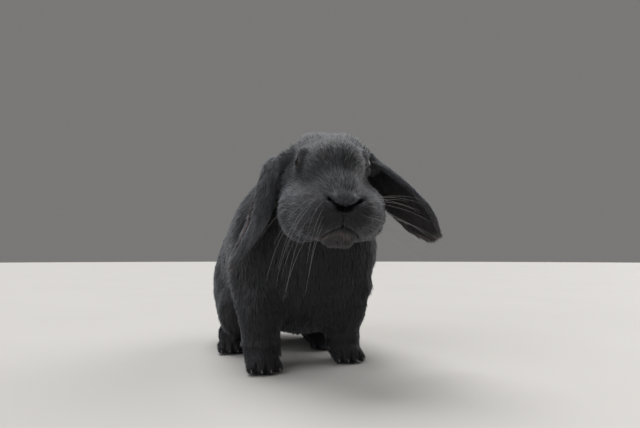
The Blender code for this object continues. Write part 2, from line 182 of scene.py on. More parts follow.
def turned_out(side, way):
    """A left-hand direction of the head's frame, as this side's direction in the row frame."""
    return HEAD_AXES @ Vector((SIDES[side] * way.x, way.y, way.z))


# Smooth noise in space

CELL_OFFSET = 1000.0  # keeps the cells' numbers above 0


def lattice(cell, seed):
    """A repeatable random number from 0 to 1 for each integer cell, by a common integer hash."""
    bits = np.uint64(seed * 2654435761)
    for axis, prime in enumerate((73856093, 19349663, 83492791)):
        bits = bits ^ cell[..., axis].astype(np.uint64) * np.uint64(prime)
    bits = (bits ^ (bits >> np.uint64(13))) * np.uint64(1274126177)
    bits = bits ^ (bits >> np.uint64(16))
    return (bits & np.uint64(0xFFFFFF)).astype(float) / 0xFFFFFF


def lattice_vector(cell, seed):
    return np.stack([lattice(cell, seed + k) for k in range(3)], axis=1)


def noise(points, size, seed):
    """Smooth noise from -1 to 1, with features about size across."""
    scaled = points / size + CELL_OFFSET
    cell = np.floor(scaled).astype(np.int64)
    f = smooth_step(scaled - cell)
    total = np.zeros(len(points))
    for corner in range(8):
        step = np.array([corner & 1, corner >> 1 & 1, corner >> 2 & 1])
        weight = np.prod(np.where(step, f, 1 - f), axis=1)
        total += weight * lattice(cell + step, seed)
    return 2 * total - 1


def noise_vector(points, size, seed):
    return np.stack([noise(points, size, seed + k) for k in range(3)], axis=1)


# Meshes to arrays and back

SPREAD_SHARE = 0.6  # what a vertex takes from its neighbours in one round


def placed(data, material=None):
    """An object in the scene, named as its data."""
    obj = bpy.data.objects.new(data.name, data)
    bpy.context.scene.collection.objects.link(obj)
    if material:
        data.materials.append(material)
    return obj


def apply_modifiers(obj):
    evaluated = obj.evaluated_get(bpy.context.evaluated_depsgraph_get())
    made = bpy.data.meshes.new_from_object(evaluated)
    old = obj.data
    obj.modifiers.clear()
    obj.data = made
    bpy.data.meshes.remove(old)


def read(items, name, width, kind=float):
    values = np.empty(len(items) * width, dtype=kind)
    items.foreach_get(name, values)
    return values.reshape(-1, width)


def vertex_array(mesh):
    return read(mesh.vertices, "co", 3)


def normal_array(mesh):
    return read(mesh.vertices, "normal", 3)


def edge_array(mesh):
    return read(mesh.edges, "vertices", 2, np.int32)


def triangle_array(mesh):
    mesh.calc_loop_triangles()
    return read(mesh.loop_triangles, "vertices", 3, np.int32)


def set_vertices(mesh, points):
    mesh.vertices.foreach_set("co", points.ravel())
    mesh.update()


def poured(shape, name):
    """A bmesh as mesh data."""
    mesh = bpy.data.meshes.new(name)
    shape.to_mesh(mesh)
    shape.free()
    return mesh


def add_to(masses, shape):
    mesh = poured(shape, "part")
    masses.from_mesh(mesh)
    bpy.data.meshes.remove(mesh)


def spread(values, edges, rounds):
    """Averages a value over the mesh's edges, this many times."""
    count = len(values)
    ends = np.concatenate([edges, edges[:, ::-1]])
    degree = np.maximum(np.bincount(ends[:, 0], minlength=count), 1)
    columns = values.reshape(count, -1).copy()
    for _ in range(rounds):
        for k in range(columns.shape[1]):
            around = np.bincount(ends[:, 0], weights=columns[ends[:, 1], k], minlength=count) / degree
            columns[:, k] = (1 - SPREAD_SHARE) * columns[:, k] + SPREAD_SHARE * around
    return columns.reshape(values.shape)


# What the coat is like at each place

EAR_SLICES = 24
PINK_EDGE_START = {"right": 0.36, "left": 0.72}  # how far down the ear its edge turns pink


def node_tree(nodes):
    """A search tree over the nodes' faces, with the region of each face."""
    points, faces, owner = [], [], []
    for node in nodes:
        mesh = frame["nodes"][node].data
        start = len(points)
        points.extend(v.co for v in mesh.vertices)
        for triangle in triangle_array(mesh):
            faces.append([int(i) + start for i in triangle])
            owner.append(REGIONS.index(node if node in REGIONS else node.split("_")[0]))
    return BVHTree.FromPolygons(points, faces), owner


def region_weights(points, edges, nodes, rounds):
    """How much each region's coat counts at each point, blended across the borders."""
    tree, owner = node_tree(nodes)
    weights = np.zeros((len(points), len(REGIONS)))
    for i, point in enumerate(points):
        weights[i, owner[tree.find_nearest(point)[2]]] = 1.0
    return spread(weights, edges, rounds)


def weight_of(weights, name):
    return weights[:, REGIONS.index(name)]


def mix(a, b, t):
    t = np.asarray(t)
    if np.ndim(b) == 2 or np.ndim(a) == 2:
        t = t[:, None]
    return a * (1 - t) + b * t


class Coat:
    """The coat's measures at each point, from its region and, on the head, from its place there."""

    def __init__(self, points, normals, weights):
        table = np.array(list(COATS.values()), dtype=float)
        share = weights / weights.sum(axis=1, keepdims=True)
        self.depth, self.length, self.width, self.spacing, self.lift = (share @ table).T
        self.share = share
        self.local = in_head(points)
        self.head = smooth_step(1.6 * weight_of(share, "head"))
        self.shape_head()
        self.comb(normals)
        self.shape_ears(points, normals)

    def shape_head(self):
        """Sets the head's own coat, and how much each point belongs to its crown and cheeks."""
        x, y, z = self.local.T
        side = np.abs(x)
        self.from_nose = np.linalg.norm(self.local - NOSE_PLACE, axis=1)
        self.from_eye = np.linalg.norm(np.stack([side, y, z], axis=1) - np.array(EYE_PLACE), axis=1)
        nape = above(y, 0.018, 0.030) * below(z, 0.045, 0.02)
        self.cheek = self.head * (above(side, 0.020, 0.024) * below(z, 0.014, 0.022))
        self.crown = self.head * (above(z, 0.024, 0.030) * above(y, -0.024, 0.044))
        muzzle = self.head * below(self.from_nose, 0.048, 0.030)
        nose = self.head * below(self.from_nose, 0.018, 0.008)
        lids = self.head * below(self.from_eye, 0.0155, 0.005)
        lashes = self.head * below(self.from_eye, 0.0112, 0.0016)
        for where, *measures in (
            (self.head * nape, 0.0066, 0.0160, 0.00120, 0.00135, 26),
            (self.cheek, 0.0046, 0.0100, 0.00095, 0.00100, 28),
            (self.crown, 0.0058, 0.0108, 0.00098, 0.00110, 29),
            (muzzle, 0.0019, 0.0056, 0.00075, 0.00080, 24),
            (nose, 0.0010, 0.0034, 0.00062, 0.00066, 24),
            (lids, 0.0010, 0.0056, 0.00076, 0.00066, 32),
            (lashes, 0.0008, 0.0029, 0.00060, 0.00056, 26),
        ):
            for name, value in zip(MEASURES, measures):
                setattr(self, name, mix(getattr(self, name), value, where))

    def comb(self, normals):
        """Sets the way the hair lies, along the skin."""
        radial = unit(self.local - NOSE_PLACE)
        back = np.array((0.0, 1.0, 0.0))
        far = above(self.from_nose, 0.045, 0.05)
        face = mix(radial, np.broadcast_to(back, radial.shape), 0.7 * far)
        face = mix(face, np.broadcast_to(np.array((0.0, 0.9, 0.5)), face.shape), 0.8 * self.crown)
        face = face + np.array((0.0, 0.0, -0.55)) * (self.cheek * far)[:, None]
        face = face @ HEAD_TURN.T
        front = below(normals[:, 1], -0.05, 0.5)
        rear = above(normals[:, 1], 0.25, 0.5)
        backward, up = 1 - 1.15 * front - 0.75 * rear, -0.32 - 0.8 * front - 0.8 * rear
        body = np.stack([np.zeros(len(backward)), backward, up], axis=1)
        thigh = body + np.array((0.0, -0.2, -0.35))
        ways = {**WAYS, "head": face, "neck": body, "trunk": body, "thigh": thigh}
        lie = np.zeros_like(face)
        for name in REGIONS:
            lie += weight_of(self.share, name)[:, None] * unit(np.atleast_2d(ways[name]))
        self.lie = unit(lie - dot(lie, normals) * normals)

    def shape_ears(self, points, normals):
        """Finds the hollow of each ear, and its pink rim and tip, from slices across it."""
        self.hollow = np.zeros(len(points))
        self.rim = np.zeros(len(points))
        for side in SIDES:
            share = weight_of(self.share, "ear_" + side)
            inside = np.flatnonzero(share > 0.3)
            if not len(inside):
                continue
            share = share[inside]
            way = unit(np.array(WAYS["ear_" + side]))
            along = points[inside] @ way
            start, end = along.min(), along.max()
            to_tip = (along - start) / (end - start)
            slices = np.clip((to_tip * EAR_SLICES).astype(int), 0, EAR_SLICES - 1)
            count = np.maximum(np.bincount(slices, minlength=EAR_SLICES), 1)
            middles = start + (np.arange(EAR_SLICES) + 0.5) * (end - start) / EAR_SLICES
            reach = np.minimum(along, middles[-2])
            centre = np.empty((len(inside), 3))
            for k in range(3):
                slice_centres = np.bincount(slices, points[inside, k], EAR_SLICES) / count
                centre[:, k] = np.interp(reach, middles, slice_centres)
            away = points[inside] - centre
            away = away - (away @ way)[:, None] * way
            inward = -np.sum(normals[inside] * unit(away), axis=1)
            # The hollow grows fewer tufts and is painted darker, as painted shade
            self.hollow[inside] = share * above(inward, 0.05, 0.4)
            distance = np.linalg.norm(away, axis=1)
            widest = np.array([distance[slices == k].max(initial=0.001) for k in range(EAR_SLICES)])
            edge = bell(inward - 0.12, 0.22) * above(distance / widest[slices], 0.62, 0.2)
            share = above(share, 0.25, 0.5)
            self.rim[inside] += share * edge * above(to_tip, PINK_EDGE_START[side], 0.2)
            self.rim[inside] += 0.7 * share * (1 - edge) * above(to_tip, 0.94, 0.05)


# The skin


def joined(nodes, grow):
    """One mesh of the nodes' surfaces, swollen so that their cuts close."""
    masses = bmesh.new()
    for node in nodes:
        piece = bmesh.new()
        piece.from_mesh(frame["nodes"][node].data)
        bmesh.ops.remove_doubles(piece, verts=piece.verts, dist=1e-5)
        piece.normal_update()
        for vert in piece.verts:
            vert.co += grow * vert.normal
        add_to(masses, piece)
    return placed(poured(masses, "joined"))


def smooth(obj, rounds):
    modifier = obj.modifiers.new("round", "SMOOTH")
    modifier.factor = 0.5
    modifier.iterations = rounds
    apply_modifiers(obj)


def fuse(obj, voxel, rounds):
    """Makes one closed skin of what overlaps, and smooths it."""
    remesh = obj.modifiers.new("fuse", "REMESH")
    remesh.mode = "VOXEL"
    remesh.voxel_size = voxel
    smooth(obj, rounds)


def round_heels(points, edges, coat):
    """Softens the hind feet behind their toes."""
    front = {side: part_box("hindfoot_" + side)[0].y for side in SIDES}
    from_toes = points[:, 1] - np.where(points[:, 0] > 0, front["left"], front["right"])
    heel = weight_of(coat.share, "hindfoot") * above(from_toes, 0.030, 0.020)
    return mix(points, spread(points, edges, 24), heel)


def sink(obj, nodes, swollen):
    """Draws the surface in by the coat's depth at each place, and less round the eyes and under the feet."""
    mesh = obj.data
    points, normals, edges = vertex_array(mesh), normal_array(mesh), edge_array(mesh)
    coat = Coat(points, normals, region_weights(points, edges, nodes, 14))
    depth = coat.depth * (1 - below(coat.from_eye, 0.0175, 0.0075))
    sole = below(points[:, 2], 0.007, 0.004) * below(normals[:, 2], -0.2, 0.5)
    depth = spread(depth * (1 - 0.85 * sole), edges, 6) + swollen
    normals = unit(spread(normals, edges, 5))
    points = points - normals * depth[:, None]
    set_vertices(mesh, round_heels(points, edges, coat))


def add_ball(masses, centre, radius, rings):
    place = Matrix.Translation(centre) @ Matrix.Diagonal((radius, radius, radius, 1))
    ball = bmesh.new()
    bmesh.ops.create_uvsphere(ball, u_segments=rings + 8, v_segments=rings, radius=1, matrix=place)
    add_to(masses, ball)


def add_ear_roots(masses):
    """The thick base of each ear, between the skull and the trough."""
    for side, sign in SIDES.items():
        skull = HEAD_FRAME @ Vector((sign * 0.026, 0.020, 0.036))
        low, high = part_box("ear_" + side)
        inner = high.x if sign < 0 else low.x
        trough = Vector((inner + sign * 0.012, (low.y + high.y) / 2 + 0.004, high.z - 0.016))
        for k in range(7):
            t = k / 6
            add_ball(masses, skull.lerp(trough, t), 0.0120 - 0.0020 * t, 16)


def add_lids(masses):
    """Rolls of skin that lie on each eyeball, round an opening longer than it is high."""
    balls = 30
    for side in SIDES:
        centre, radius = eyeball(side)
        look = turned_out(side, LID_LOOK)
        back = HEAD_AXES @ Vector((0, 1, 0))
        back = (back - look * back.dot(look)).normalized()
        up = look.cross(back)
        up = up if up.z > 0 else -up
        for ring in range(3):
            for k in range(balls):
                angle = 2 * math.pi * k / balls
                opening = math.radians(LID_OPENING + 7 * math.cos(2 * angle) + 11 * ring)
                way = look * math.cos(opening)
                way += (back * math.cos(angle) + up * math.sin(angle)) * math.sin(opening)
                add_ball(masses, centre + way * radius, LID_RADIUS * (1 + 0.25 * ring), 8)


def near_path(local, path):
    """How far each point is from a path, both seen from the head's front."""
    plane = local[:, [0, 2]]
    near = np.ones(len(plane))
    for a, b in zip(path, path[1:]):
        a, b = np.array(a), np.array(b)
        t = np.clip(((plane - a) @ (b - a)) / max((b - a) @ (b - a), 1e-12), 0, 1)
        near = np.minimum(near, np.linalg.norm(plane - (a + t[:, None] * (b - a)), axis=1))
    return near


class Face:
    """The skin's points, to be pressed and swollen in the head's frame."""

    def __init__(self, mesh):
        self.points, self.normals = vertex_array(mesh), unit(normal_array(mesh))
        self.inward = unit(0.6 * (HEAD_TURN @ np.array((0.0, 1.0, 0.0))) - 0.4 * self.normals)
        self.local = in_head(self.points)
        self.front = below(self.local[:, 1], -0.040, 0.006)

    def groove(self, path, half_width, depth):
        """Presses the skin in along a path, and tells how much each point is in the groove."""
        press = bell(near_path(self.local, path), half_width) * self.front
        self.points = self.points + self.inward * (press * depth)[:, None]
        return press

    def swell(self, centre, radius, height):
        distance = np.linalg.norm(self.local - np.array(centre), axis=1)
        self.points = self.points + self.normals * (height * bell(distance, radius))[:, None]

    def part_toes(self):
        above_floor = above(self.points[:, 2], 0.0015, 0.003)
        press = 0.0019 * toe_gaps(self.points) * above_floor
        self.points = self.points - self.normals * press[:, None]


def refine(obj, centre, reach):
    """Halves the mesh's edges within reach of a point."""
    mesh = bmesh.new()
    mesh.from_mesh(obj.data)
    edges = [e for e in mesh.edges if all((v.co - centre).length < reach for v in e.verts)]
    bmesh.ops.subdivide_edges(mesh, edges=edges, cuts=1, use_grid_fill=True, smooth=0.3)
    mesh.to_mesh(obj.data)
    mesh.free()


# The nose and mouth, as (x, z) in the head's frame
NOSTRILS = [
    [(-0.0124, -0.0022), (-0.0086, -0.0050), (-0.0042, -0.0080), (0.0, -0.0098)],
    [(0.0182, -0.0032), (0.0124, -0.0056), (0.0060, -0.0082), (0.0, -0.0098)],
]
NOSE_UNDERSIDE = [(-0.0042, -0.0096), (0.0012, -0.0112), (0.0066, -0.0098)]
PHILTRUM = [(0.0006, -0.0116), (0.0, -0.0215)]
LIPS = [
    [(0.0, -0.0256), (-0.0064, -0.0284), (-0.0120, -0.0330), (-0.0162, -0.0384)],
    [(0.0, -0.0256), (0.0068, -0.0280), (0.0126, -0.0326), (0.0172, -0.0386)],
]
LOWER_LIP = [
    (-0.0180, -0.0405), (-0.0105, -0.0350), (-0.0035, -0.0320), (0.0040, -0.0338), (0.0090, -0.0380)
]
CHIN_CLEFT = [(-0.0030, -0.0400), (-0.0034, -0.0480)]

# Swellings, in the head's frame: centre, radius, height
SWELLINGS = [
    ((-0.0105, -0.070, -0.0205), 0.0085, 0.0013),  # the upper lip's right half
    ((-0.0080, -0.070, -0.0020), 0.0050, 0.0012),  # the nose's right wing
    ((0.0105, -0.070, -0.0205), 0.0085, 0.0013),  # and the same on the left
    ((0.0080, -0.070, -0.0020), 0.0050, 0.0012),
    ((0.0, -0.064, -0.0385), 0.0070, 0.0016),  # the lower lip
    ((-0.0115, -0.060, -0.0435), 0.0062, 0.0022),  # the chin
    ((0.0075, -0.060, -0.0435), 0.0062, 0.0026),
]


def toe_gaps(points):
    """How much each point lies in a crease between two toes."""
    gaps = np.zeros(len(points))
    for side in SIDES:
        for foot in ("fore", "hind"):
            claws = [middle(f"claw_{foot}_{side}_{k}") for k in range(1, 5)]
            for a, b in zip(claws, claws[1:]):
                gap = (a + b) / 2
                between = bell(points[:, 0] - gap.x, 0.0012)
                ahead = below(points[:, 1], gap.y + 0.021, 0.008) * (points[:, 1] > gap.y - 0.02)
                low = below(points[:, 2], 0.019, 0.006)
                gaps = np.maximum(gaps, between * ahead * low)
    return gaps


def drop_specks(obj):
    """Deletes the tiny islands that fusing can leave inside."""
    edges = edge_array(obj.data)
    island = np.arange(len(obj.data.vertices))
    settled = False
    while not settled:
        lowest = island.copy()
        np.minimum.at(lowest, edges[:, 0], island[edges[:, 1]])
        np.minimum.at(lowest, edges[:, 1], island[edges[:, 0]])
        lowest = lowest[lowest]
        settled = np.array_equal(lowest, island)
        island = lowest
    main_island = np.bincount(island).argmax()
    mesh = bmesh.new()
    mesh.from_mesh(obj.data)
    mesh.verts.ensure_lookup_table()
    specks = [mesh.verts[int(i)] for i in np.flatnonzero(island != main_island)]
    bmesh.ops.delete(mesh, geom=specks, context="VERTS")
    mesh.to_mesh(obj.data)
    mesh.free()


def skin_form():
    """The body and the ears drawn in by the coat's depth, with the ears' roots and the lids, as one skin."""
    masses = bmesh.new()
    for nodes, swell, voxel, rounds in ((FLESH, BODY_SWELL, BODY_VOXEL, 3), (EARS, 0.0, EAR_VOXEL, 2)):
        obj = joined(nodes, swell)
        fuse(obj, voxel, rounds)
        sink(obj, nodes, swell)
        masses.from_mesh(obj.data)
        bpy.data.objects.remove(obj)
    add_ear_roots(masses)
    add_lids(masses)
    skin = placed(poured(masses, "skin"))
    fuse(skin, SKIN_VOXEL, 3)
    drop_specks(skin)
    return skin


def make_skin():
    """The skin, with how bare each of its points is and how far between the lips."""
    skin = skin_form()
    muzzle = HEAD_FRAME @ Vector((0.0, -0.066, -0.018))
    refine(skin, muzzle, 0.034)
    refine(skin, muzzle, 0.026)
    for side in SIDES:
        refine(skin, middle("eye_" + side), 0.0165)
    smooth(skin, 2)
    face = Face(skin.data)
    for centre, radius, height in SWELLINGS:
        face.swell(centre, radius, height)
    face.groove(CHIN_CLEFT, 0.0024, 0.0020)
    face.part_toes()
    bare = [face.groove(NOSE_UNDERSIDE, 0.0031, 0.0042)]
    bare += [face.groove(path, 0.0020, 0.0054) for path in NOSTRILS]
    bare.append(0.4 * face.groove(PHILTRUM, 0.0009, 0.0009))
    lips = [face.groove(path, 0.0013, 0.0026) for path in LIPS]
    set_vertices(skin.data, face.points)
    skin.data.shade_smooth()
    return skin, np.max(bare, axis=0), np.max(lips, axis=0)


# Tufts

RINGS = {"long": 2, "short": 1}  # rings of three points in a tuft, before its tip


def tuft_triangles(kind):
    return 6 * RINGS[kind] - 2


class Roots:
    """Where the tufts grow: points spread over the skin, closer where the coat is finer."""

    def __init__(self, skin, coat, bare):
        mesh = skin.data
        points, normals, triangles = vertex_array(mesh), unit(normal_array(mesh)), triangle_array(mesh)
        a, b, c = (points[triangles[:, k]] for k in range(3))
        area = np.linalg.norm(np.cross(b - a, c - a), axis=1) / 2
        density = 1.0 / coat.spacing**2
        density = density * (1 - above(bare, 0.35, 0.3))
        density = density * (1 - 0.35 * coat.hollow) * (1 - 0.5 * coat.rim)
        density = density * (coat.from_eye > EYE_BARE / HEAD_SCALE)
        per_face = area * density[triangles].mean(axis=1)
        is_long = coat.length[triangles].mean(axis=1) > LONG_HAIR
        cost = np.where(is_long, tuft_triangles("long"), tuft_triangles("short"))
        wanted = COAT_TRIANGLES / (per_face * cost).sum()
        total = np.concatenate([[0], np.cumsum(per_face * wanted)])
        count = int(total[-1])
        places = np.arange(count) + random.random(count)
        face = np.clip(np.searchsorted(total, places, side="right") - 1, 0, len(triangles) - 1)
        u, v = random.random(count), random.random(count)
        flip = u + v > 1
        u[flip], v[flip] = 1 - u[flip], 1 - v[flip]
        self.corners = triangles[face]
        self.share = np.stack([1 - u - v, u, v], axis=1)
        self.place = self.at(points)
        self.normal = unit(self.at(normals))

    def at(self, values):
        """A value of the skin's vertices, at each root."""
        if values.ndim == 1:
            return np.sum(values[self.corners] * self.share, axis=1)
        return np.einsum("nkc,nk->nc", values[self.corners], self.share)


def unwrap(skin):
    """An unwrap of a coarse copy of the skin: a search tree, and each triangle's corners and their UVs."""
    copy = placed(skin.data.copy())
    thin = copy.modifiers.new("thin", "DECIMATE")
    thin.ratio = 0.06
    apply_modifiers(copy)
    bpy.context.view_layer.objects.active = copy
    for obj in bpy.context.view_layer.objects:
        obj.select_set(obj is copy)
    bpy.ops.object.mode_set(mode="EDIT")
    bpy.ops.mesh.select_all(action="SELECT")
    bpy.ops.uv.smart_project(angle_limit=math.radians(66), island_margin=0.002)
    bpy.ops.object.mode_set(mode="OBJECT")
    mesh = copy.data
    triangles = triangle_array(mesh)
    points = vertex_array(mesh)
    tree = BVHTree.FromPolygons([Vector(p) for p in points], triangles.tolist())
    loops = read(mesh.loop_triangles, "loops", 3, np.int32)
    corner_uv = read(mesh.uv_layers.active.data, "uv", 2)[loops]
    bpy.data.objects.remove(copy)
    return tree, points[triangles], corner_uv


def uv_of(places, unwrapped):
    """The unwrap's UV under each place."""
    tree, corners, corner_uv = unwrapped
    face = np.array([tree.find_nearest(p)[2] for p in places])
    a, b, c = (corners[face, k] for k in range(3))
    ab, ac, ap = b - a, c - a, places - a
    d00, d01, d11 = (np.sum(p * q, axis=1) for p, q in ((ab, ab), (ab, ac), (ac, ac)))
    d20, d21 = np.sum(ap * ab, axis=1), np.sum(ap * ac, axis=1)
    divisor = np.maximum(d00 * d11 - d01 * d01, 1e-20)
    v, w = (d11 * d20 - d01 * d21) / divisor, (d00 * d21 - d01 * d20) / divisor
    share = np.clip(np.stack([1 - v - w, v, w], axis=1), 0, 1)
    share /= share.sum(axis=1, keepdims=True)
    return np.einsum("nkc,nk->nc", corner_uv[face], share)


def streaks(places, lie, size, seed):
    """Noise drawn out along the hair, from about -1 to 1."""
    total = sum(noise(places + step * 0.9 * size * lie, size, seed) for step in range(-3, 4))
    return np.clip(total / 3.0, -1, 1)


def clump(places, size, seed):
    """The way from each place to the middle of its lock of hair, and the lock's own random number."""
    cell = np.floor(places / size + CELL_OFFSET).astype(np.int64)
    jitter = lattice_vector(cell, seed)
    return (cell + 0.15 + 0.7 * jitter - CELL_OFFSET) * size - places, lattice(cell, seed + 9)


def vary(values):
    """The values, each made up to a quarter less or more at random."""
    return values * (0.75 + 0.5 * random.random(len(values)))


def tuft_faces(rings):
    """The faces of one tuft: its root, its sides, and the tip's three."""
    faces = [(0, 2, 1)]
    for k in range(rings - 1):
        for i in range(3):
            j = (i + 1) % 3
            faces.append((3 * k + i, 3 * k + j, 3 * k + 3 + j, 3 * k + 3 + i))
    last = 3 * (rings - 1)
    for i in range(3):
        faces.append((last + i, last + (i + 1) % 3, last + 3))
    return faces


def grow_tufts(roots, coat, picked, rings):
    """The picked tufts' points and shading normals, how far along its tuft each point is, and each tuft's
    tone. A tuft has rings of three points and a tip."""
    n = len(picked)
    place, normal = roots.place[picked], roots.normal[picked]
    lie = roots.at(coat.lie)[picked]
    lie = lie + 0.26 * noise_vector(place, 0.024, 3) + 0.20 * noise_vector(place, 0.008, 7)
    lie = lie + 0.14 * random.normal(size=(n, 3))
    lie = unit(lie - dot(lie, normal) * normal)
    across = np.cross(normal, lie)
    length = vary(roots.at(coat.length)[picked])
    width = vary(roots.at(coat.width)[picked])
    lift = vary(np.radians(roots.at(coat.lift)[picked]))
    lift = lift * (1 + 0.30 * noise(place, 0.012, 17))

    # Long hair draws into wider locks and streaks than short hair
    is_long = above(length, 0.006, 0.006)
    long_lock, long_tone = clump(place, 0.0075, 30)
    short_lock, short_tone = clump(place, 0.0036, 50)
    fine = streaks(place, lie, 0.0018, 61)
    coarse = streaks(place, lie, 0.0036, 71)
    streak = mix(0.75 * fine + 0.35 * coarse, 0.4 * fine + 0.6 * coarse, is_long)
    lift = lift * (1 + mix(0.40, 0.26, is_long) * streak)
    length = length * (1 + 0.12 * streak)
    to_lock = mix(short_lock, long_lock, is_long)
    to_lock = to_lock - dot(to_lock, normal) * normal
    lock_tone = mix(short_tone, long_tone, is_long)
    pull = mix(0.32, 0.24, is_long)

    # Each tuft starts just under the skin and bends down to it
    stops = np.linspace(0, 1, rings + 1)
    path = [place - (0.05 * length)[:, None] * normal]
    for first, second in zip(stops, stops[1:]):
        angle = (lift * (1.25 - (first + second) / 2))[:, None]
        step = ((second - first) * length)[:, None]
        path.append(path[-1] + step * (np.cos(angle) * lie + np.sin(angle) * normal))
    sway = 0.08 * length * random.normal(size=n)
    scatter = 0.22 * random.normal(size=(n, 3))
    points, shades, along = [], [], []
    for k in range(rings):
        t = stops[k]
        centre = path[k] + (pull * t)[:, None] * to_lock + (sway * t * t)[:, None] * across
        half = (0.5 * width * (0.90 + 0.5 * t - 1.15 * t * t))[:, None]
        up = unit(np.cross(path[k + 1] - path[k], across))
        up = up * np.sign(dot(up, normal))
        points += [centre - half * across, centre + half * across, centre + 0.8 * half * up]
        tilt = normal + scatter
        shades += [unit(tilt - 0.75 * across), unit(tilt + 0.75 * across), unit(tilt + 0.2 * up)]
        along += [t] * 3
    points.append(path[-1] + pull[:, None] * to_lock + sway[:, None] * across)
    shades.append(unit(normal + 0.25 * lie + scatter))
    along.append(1.0)

    points = np.stack(points, axis=1).reshape(-1, 3)
    height = points[:, 2]
    bent = FLOOR_CLEAR * np.exp((height - FLOOR_CLEAR) / FLOOR_CLEAR)
    points[:, 2] = np.where(height > FLOOR_CLEAR, height, bent)
    shades = np.stack(shades, axis=1).reshape(-1, 3)
    tone = 0.5 + 0.20 * (lock_tone - 0.5) + mix(0.58, 0.22, is_long) * streak
    tone = tone + 0.36 * (random.random(n) - 0.5)
    return points, shades, np.array(along), np.clip(tone, 0, 1)


def set_attribute(mesh, name, values):
    mesh.attributes.new(name, "FLOAT", "POINT").data.foreach_set("value", values.astype(np.float32))


def coat_piece(name, roots, coat, picked, rings, marks, root_uv, material):
    points, shades, along, tone = grow_tufts(roots, coat, picked, rings)
    faces = tuft_faces(rings)
    corners = len(along)
    n = len(picked)
    sizes = np.array([len(f) for f in faces])
    pattern = np.concatenate([np.array(f) for f in faces])
    loops = (pattern[None, :] + corners * np.arange(n)[:, None]).ravel()
    totals = np.tile(sizes, n)
    starts = np.concatenate([[0], np.cumsum(totals)[:-1]])
    mesh = bpy.data.meshes.new(name)
    mesh.vertices.add(len(points))
    mesh.vertices.foreach_set("co", points.astype(np.float32).ravel())
    mesh.loops.add(len(loops))
    mesh.loops.foreach_set("vertex_index", loops.astype(np.int32))
    mesh.polygons.add(len(totals))
    mesh.polygons.foreach_set("loop_start", starts.astype(np.int32))
    mesh.update(calc_edges=True)
    mesh.shade_smooth()
    free = mesh.attributes.new("custom_normal", "FLOAT_VECTOR", "POINT")
    free.data.foreach_set("vector", shades.astype(np.float32).ravel())
    sideways = np.array([-0.5, 0.5, 0.0] * rings + [0.0])
    offset = UV_PATCH * np.stack([sideways, along - 0.5], axis=1)
    vertex_uv = (root_uv[picked][:, None, :] + offset[None]).reshape(-1, 2)
    layer = mesh.uv_layers.new(name="OFBake")
    layer.data.foreach_set("uv", np.clip(vertex_uv, 0, 1)[loops].astype(np.float32).ravel())
    set_attribute(mesh, "along", np.tile(along, n))
    set_attribute(mesh, "tone", np.repeat(tone, corners))
    for mark, values in marks.items():
        set_attribute(mesh, mark, np.repeat(roots.at(values)[picked], corners))
    obj = placed(mesh, material)
    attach(obj, "root")


def make_coat(skin, coat, bare, marks, material):
    roots = Roots(skin, coat, bare)
    root_uv = uv_of(roots.place, unwrap(skin))
    share = roots.at(coat.share)
    region = share.argmax(axis=1)
    long_hair = coat.length[roots.corners].mean(axis=1) > LONG_HAIR
    slant = roots.place[:, 1] + 0.6 * roots.place[:, 2]
    for index, name in enumerate(REGIONS):
        here = region == index
        long_here = here & long_hair
        if here.sum() - long_here.sum() < FEWEST_TUFTS:
            long_here = here
        for kind, chosen in (("long", long_here), ("short", here & ~long_here)):
            picked = np.flatnonzero(chosen)
            if not len(picked):
                continue
            parts = math.ceil(len(picked) * tuft_triangles(kind) / PIECE_TRIANGLES)
            order = picked[np.argsort(slant[picked], kind="stable")]
            for k, part in enumerate(np.array_split(order, parts)):
                label = f"coat_{name}_{kind}_{k + 1}"
                coat_piece(label, roots, coat, part, RINGS[kind], marks, root_uv, material)


# Materials


def new_material(name):
    material = bpy.data.materials.new(name)
    material.use_nodes = True
    return material, material.node_tree


def node(tree, kind, **settings):
    made = tree.nodes.new(kind)
    for key, value in settings.items():
        if key in made.inputs:
            made.inputs[key].default_value = value
        else:
            setattr(made, key, value)
    return made


def feed(tree, socket, value):
    """Links a socket to another, or sets it to a number or a colour."""
    if isinstance(value, bpy.types.NodeSocket):
        tree.links.new(value, socket)
    elif isinstance(value, tuple):
        socket.default_value = (*value, 1)
    else:
        socket.default_value = value


def set_shader(tree, colour, **others):
    """Feeds the colour and the other inputs, named with _ for a space, to the material's shader."""
    shader = tree.nodes["Principled BSDF"]
    for name, value in {"Base_Color": colour, **others}.items():
        feed(tree, shader.inputs[name.replace("_", " ")], value)


def attribute(tree, name):
    return node(tree, "ShaderNodeAttribute", attribute_name=name).outputs["Fac"]


def mixed(tree, factor, first, second):
    """A colour between first and second. Each is a colour or a socket."""
    made = node(tree, "ShaderNodeMix", data_type="RGBA")
    for socket, value in ((0, factor), (6, first), (7, second)):  # 6 and 7 take colours
        feed(tree, made.inputs[socket], value)
    return made.outputs[2]


def times(tree, first, second):
    made = node(tree, "ShaderNodeMath", operation="MULTIPLY")
    feed(tree, made.inputs[0], first)
    feed(tree, made.inputs[1], second)
    return made.outputs[0]


def mapped(tree, value, low, high, to_low, to_high):
    made = node(tree, "ShaderNodeMapRange")
    for socket, number in enumerate((value, low, high, to_low, to_high)):
        feed(tree, made.inputs[socket], number)
    return made.outputs[0]


def noise_texture(tree, scale, detail=3.0):
    made = node(tree, "ShaderNodeTexNoise", Scale=scale, Detail=detail)
    tree.links.new(node(tree, "ShaderNodeTexCoord").outputs["Object"], made.inputs["Vector"])
    return made.outputs["Fac"]


def painted(tree, colour, layers):
    """The colour under each layer's paint, which is as strong as the mark times the layer's strength."""
    for mark, strength, paint in layers:
        colour = mixed(tree, times(tree, attribute(tree, mark), strength), colour, paint)
    return colour


